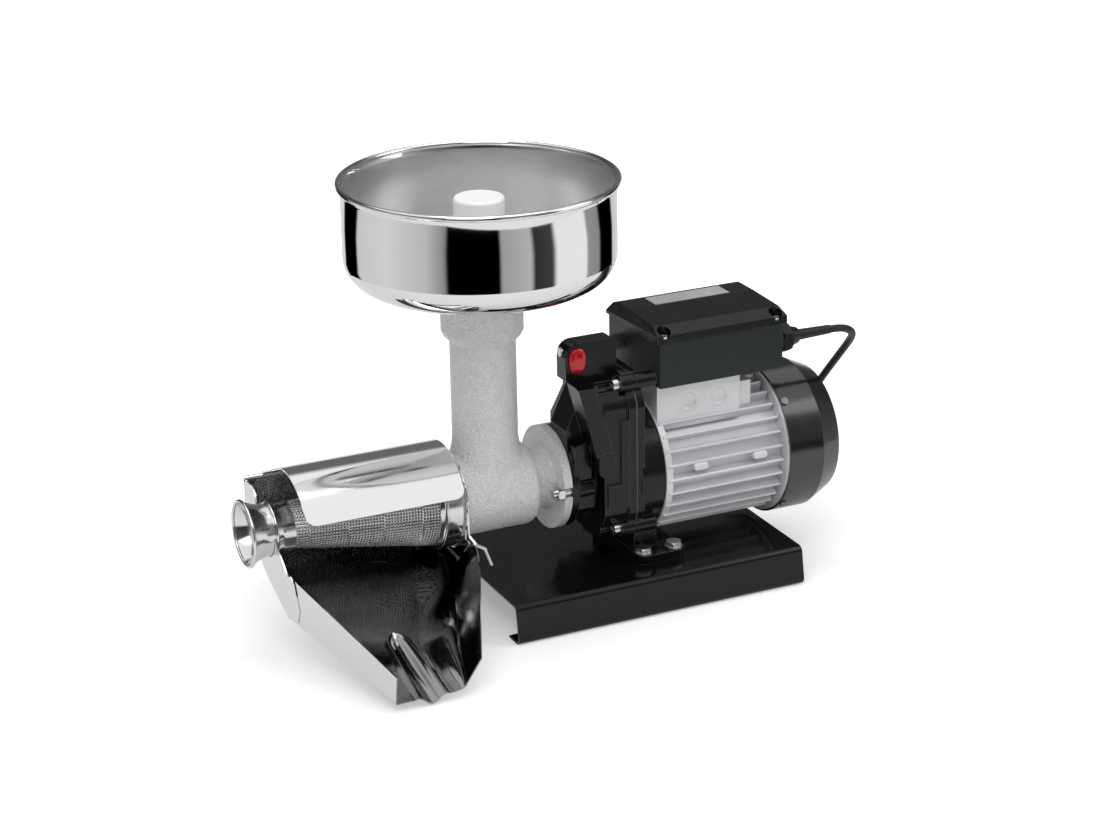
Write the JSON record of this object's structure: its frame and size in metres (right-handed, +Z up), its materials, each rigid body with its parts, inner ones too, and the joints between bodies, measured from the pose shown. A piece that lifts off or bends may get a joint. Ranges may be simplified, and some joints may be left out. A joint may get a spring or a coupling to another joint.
{
  "type": "electric tomato press",
  "caption": "Electric tomato press: geared motor on a black steel base, cast press body with a steel hopper, perforated cone strainer, drip tray and spout, and its mains lead.",
  "frame": {"origin": "on the floor under the middle of the machine's own box, without the mains lead", "axes": "+X along the motor axis toward the fan cover, the spout at -X; -Y toward the drip tray's lip and the switch; +Z up"},
  "size_m": [0.5888, 0.3749, 0.39],
  "materials": {
    "cast_aluminium": "sand cast, unpolished",
    "fin_aluminium": "die cast, bright",
    "black_enamel": "gloss",
    "stainless": "mirror polished stainless",
    "zinc_steel": "zinc plated",
    "ground_steel": "ground",
    "core_steel": "laminated",
    "bronze": "turned",
    "copper": "enamelled wire",
    "black_plastic": "satin",
    "rubber": "matt",
    "gasket": "matt",
    "red_plastic": "gloss",
    "white_plastic": "satin",
    "beige_plastic": "matt",
    "can_aluminium": "drawn can"
  },
  "bodies": {
    "machine": {"base_plate": "black_enamel", "base_bolts": "zinc_steel", "base_nuts": "zinc_steel", "press_body": "cast_aluminium", "clamp_studs": "zinc_steel", "clamp_nuts": "zinc_steel", "gear_case": "black_enamel", "case_gasket": "gasket", "drive_shield": "black_enamel", "case_screws": "zinc_steel", "shaft_seal": "rubber", "output_bearings": "ground_steel", "lay_bushes": "bronze", "stator_housing": "fin_aluminium", "stator_core": "core_steel", "stator_windings": "copper", "motor_bearings": "ground_steel", "rear_shield": "fin_aluminium", "fan_cover": "black_plastic", "cover_screws": "zinc_steel", "terminal_box": "black_plastic", "box_gasket": "rubber", "box_lid": "black_plastic", "lid_screws": "zinc_steel", "capacitor": "can_aluminium", "terminal_block": "beige_plastic", "gland_body": "black_plastic", "gland_nut": "black_plastic", "cable_boot": "rubber", "power_cord": "rubber", "power_cord_coil": "rubber", "power_plug": "rubber", "plug_pins": "bronze", "switch_box": "black_plastic", "switch_contacts": "beige_plastic", "switch_screws": "zinc_steel"},
    "output": {"output_shaft": "ground_steel", "output_gear": "ground_steel", "auger": "white_plastic"},
    "layshaft": {"layshaft": "ground_steel", "lay_gear": "ground_steel"},
    "rotor": {"motor_shaft": "ground_steel", "rotor_core": "core_steel", "motor_fan": "black_plastic"},
    "button": {"switch_button": "red_plastic", "button_spring": "ground_steel"},
    "pusher": {"pusher": "white_plastic"},
    "hopper": {"hopper": "stainless"},
    "strainer": {"strainer_cone": "stainless", "strainer_spout": "stainless", "strainer_collar": "stainless"},
    "tray": {"drip_tray": "stainless"},
    "guard": {"splash_guard": "stainless"},
    "wire": {"retaining_spring": "stainless"}
  },
  "joints": [
    {"name": "motor_spin", "type": "hinge", "parent": "machine", "child": "rotor", "pos_m": [0.15025, 0.02368, 0.11], "axis": [1, 0, 0], "continuous": true},
    {"name": "layshaft_spin", "type": "hinge", "parent": "machine", "child": "layshaft", "pos_m": [0.05525, 0.02368, 0.1475], "axis": [1, 0, 0], "continuous": true},
    {"name": "auger_spin", "type": "hinge", "parent": "machine", "child": "output", "pos_m": [-0.04975, 0.02368, 0.11], "axis": [1, 0, 0], "continuous": true},
    {"name": "switch_press", "type": "slide", "parent": "machine", "child": "button", "axis": [0, 1, 0], "range_m": [0, 0.003], "stiffness_N_per_m": 300, "springref_m": -0.002},
    {"name": "pusher_lift", "type": "slide", "parent": "machine", "child": "pusher", "axis": [0, 0, 1], "range_m": [0, 0.25]},
    {"name": "hopper_lift", "type": "slide", "parent": "machine", "child": "hopper", "axis": [0, 0, 1], "range_m": [0, 0.06]},
    {"name": "strainer_pull", "type": "slide", "parent": "machine", "child": "strainer", "axis": [-1, 0, 0], "range_m": [0, 0.14]},
    {"name": "tray_swing", "type": "hinge", "parent": "strainer", "child": "tray", "pos_m": [-0.16975, 0.02368, 0.11], "axis": [-1, 0, 0], "range_deg": [0, 20]},
    {"name": "splash_guard_lift", "type": "slide", "parent": "tray", "child": "guard", "axis": [0, 0, 1], "range_m": [0, 0.06]},
    {"name": "retaining_spring_turn", "type": "hinge", "parent": "machine", "child": "wire", "pos_m": [-0.08445, 0.02368, 0.11], "axis": [1, 0, 0], "range_deg": [-60, 0]}
  ],
  "couplings": [
    {"joint": "layshaft_spin", "follows": "motor_spin", "ratio": -0.25},
    {"joint": "auger_spin", "follows": "motor_spin", "ratio": 0.076087}
  ]
}
